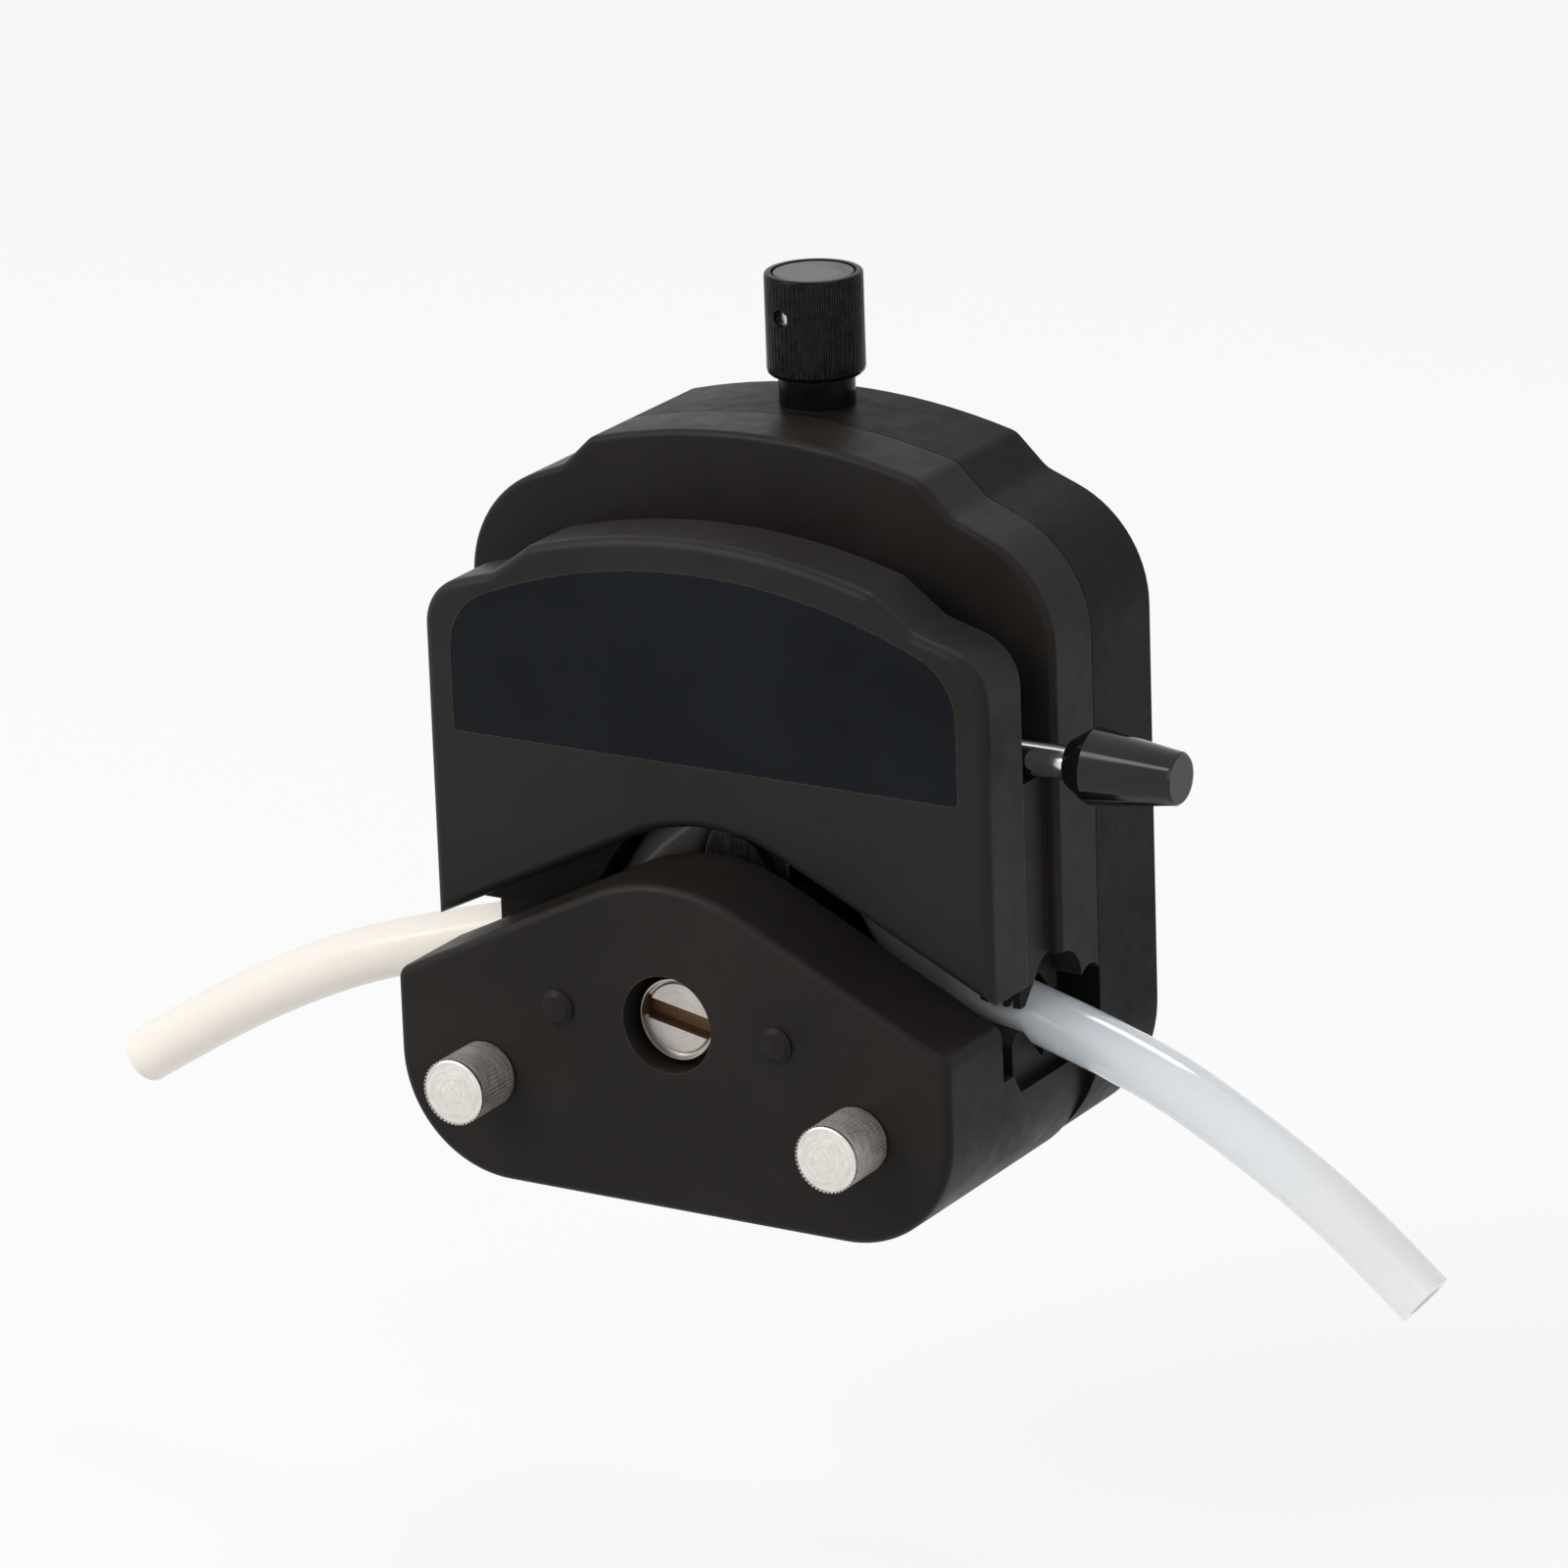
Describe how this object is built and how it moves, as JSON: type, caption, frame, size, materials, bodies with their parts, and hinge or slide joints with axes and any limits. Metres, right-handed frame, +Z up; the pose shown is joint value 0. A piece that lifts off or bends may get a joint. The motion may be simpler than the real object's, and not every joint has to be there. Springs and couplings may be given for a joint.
{
  "type": "peristaltic pump head",
  "caption": "Peristaltic pump head: roofed lower housing, lifting jaw worked by an over-swinging lever, knurled adjusting knob and a length of translucent tube.",
  "frame": {"origin": "on the rotor axis, in the plane of the rear mounting face", "axes": "+Y out of the rear face towards the drive, +X right as seen from the front, +Z up"},
  "size_m": [0.2522, 0.0841, 0.155],
  "materials": {
    "black_pps": "moulded glass-filled plastic, satin",
    "panel_blue_black": "smooth film panel, satin",
    "black_anodised": "black anodised turned metal",
    "stainless": "turned stainless steel",
    "chrome": "polished chrome plate",
    "grip_black": "polished black thermoset",
    "tube_clear": "translucent silicone-like tubing",
    "bearing_steel": "ground steel",
    "bronze": "oiled bronze bush",
    "spring_steel": "drawn spring wire"
  },
  "bodies": {
    "base": {"front_housing": "black_pps", "rear_housing": "black_pps", "housing_screws": "stainless", "front_bearing": "bearing_steel", "rear_bearing": "bearing_steel", "bearing_retainer": "stainless", "retainer_screws": "stainless", "neck_bush": "black_anodised", "pumping_tube": "tube_clear", "tube_left": "tube_clear", "tube_right": "tube_clear", "dome_plug_left": "black_pps", "guide_column_left": "stainless", "tube_saddle_left": "black_pps", "dome_plug_right": "black_pps", "guide_column_right": "stainless", "tube_saddle_right": "black_pps"},
    "rotor": {"rotor_shaft": "stainless", "shaft_clip": "spring_steel", "rotor_disc_front": "stainless", "rotor_disc_rear": "stainless", "rotor_hub": "stainless", "rotor_collar": "stainless", "roller_axles": "stainless"},
    "carriage": {"yoke": "stainless", "yoke_nut": "bronze"},
    "jaw": {"front_plate": "black_pps", "label_panel": "panel_blue_black", "jaw_block": "black_pps", "bed_liner": "black_pps", "jaw_screws": "stainless", "cam_bush": "bronze", "guide_bush_left": "bronze", "clamp_spring_left": "spring_steel", "guide_bush_right": "bronze", "clamp_spring_right": "spring_steel"},
    "lever": {"cam_shaft": "stainless", "lift_cam": "bearing_steel", "cam_pin": "stainless", "lever_hub": "chrome", "lever_rod": "chrome", "lever_grip": "grip_black"},
    "adjuster": {"adjusting_screw": "stainless", "knob": "black_anodised", "knob_pin": "stainless"},
    "squeeze_roller_1": {"roller_1": "stainless", "roller_bushes_1": "bronze"},
    "squeeze_roller_2": {"roller_2": "stainless", "roller_bushes_2": "bronze"},
    "squeeze_roller_3": {"roller_3": "stainless", "roller_bushes_3": "bronze"},
    "clamp_left": {"tube_clamp_left": "black_pps"},
    "fixing_left": {"thumbscrew_left": "stainless"},
    "clamp_right": {"tube_clamp_right": "black_pps"},
    "fixing_right": {"thumbscrew_right": "stainless"}
  },
  "joints": [
    {"name": "rotor_spin", "type": "hinge", "parent": "base", "child": "rotor", "pos_m": [0, -0.0307, 0], "axis": [0, 1, 0], "continuous": true, "deforming": ["pumping_tube"]},
    {"name": "occlusion_adjust", "type": "slide", "parent": "base", "child": "carriage", "axis": [0, 0, 1], "range_m": [0, 0.0012]},
    {"name": "jaw_lift", "type": "slide", "parent": "carriage", "child": "jaw", "axis": [0, 0, 1], "range_m": [0, 0.013]},
    {"name": "lever_swing", "type": "hinge", "parent": "jaw", "child": "lever", "pos_m": [0, -0.0362, 0.0442], "axis": [0, -1, 0], "range_deg": [0, 180]},
    {"name": "knob_turn", "type": "hinge", "parent": "base", "child": "adjuster", "pos_m": [0, -0.0115, 0.1038], "axis": [0, 0, -1], "range_deg": [0, 540]},
    {"name": "roller_spin_1", "type": "hinge", "parent": "rotor", "child": "squeeze_roller_1", "pos_m": [0, -0.0307, 0.02], "axis": [0, 1, 0], "continuous": true},
    {"name": "roller_spin_2", "type": "hinge", "parent": "rotor", "child": "squeeze_roller_2", "pos_m": [-0.01732, -0.0307, -0.01], "axis": [0, 1, 0], "continuous": true},
    {"name": "roller_spin_3", "type": "hinge", "parent": "rotor", "child": "squeeze_roller_3", "pos_m": [0.01732, -0.0307, -0.01], "axis": [0, 1, 0], "continuous": true},
    {"name": "clamp_slide_left", "type": "slide", "parent": "jaw", "child": "clamp_left", "axis": [0, 0, 1], "range_m": [0, 0.004], "stiffness_N_per_m": 600, "springref_m": -0.003, "deforming": ["clamp_spring_left"]},
    {"name": "thumbscrew_turn_left", "type": "hinge", "parent": "base", "child": "fixing_left", "pos_m": [-0.0351, -0.07, -0.0138], "axis": [0, 1, 0], "continuous": true},
    {"name": "clamp_slide_right", "type": "slide", "parent": "jaw", "child": "clamp_right", "axis": [0, 0, 1], "range_m": [0, 0.004], "stiffness_N_per_m": 600, "springref_m": -0.003, "deforming": ["clamp_spring_right"]},
    {"name": "thumbscrew_turn_right", "type": "hinge", "parent": "base", "child": "fixing_right", "pos_m": [0.0351, -0.07, -0.0138], "axis": [0, 1, 0], "continuous": true}
  ],
  "couplings": [
    {"joint": "lever_swing", "follows": "jaw_lift", "rad_per_m": 241.66},
    {"joint": "knob_turn", "follows": "occlusion_adjust", "rad_per_m": 7853.9},
    {"joint": "roller_spin_1", "follows": "rotor_spin", "ratio": -3.5},
    {"joint": "roller_spin_2", "follows": "rotor_spin", "ratio": -3.5},
    {"joint": "roller_spin_3", "follows": "rotor_spin", "ratio": -3.5}
  ]
}
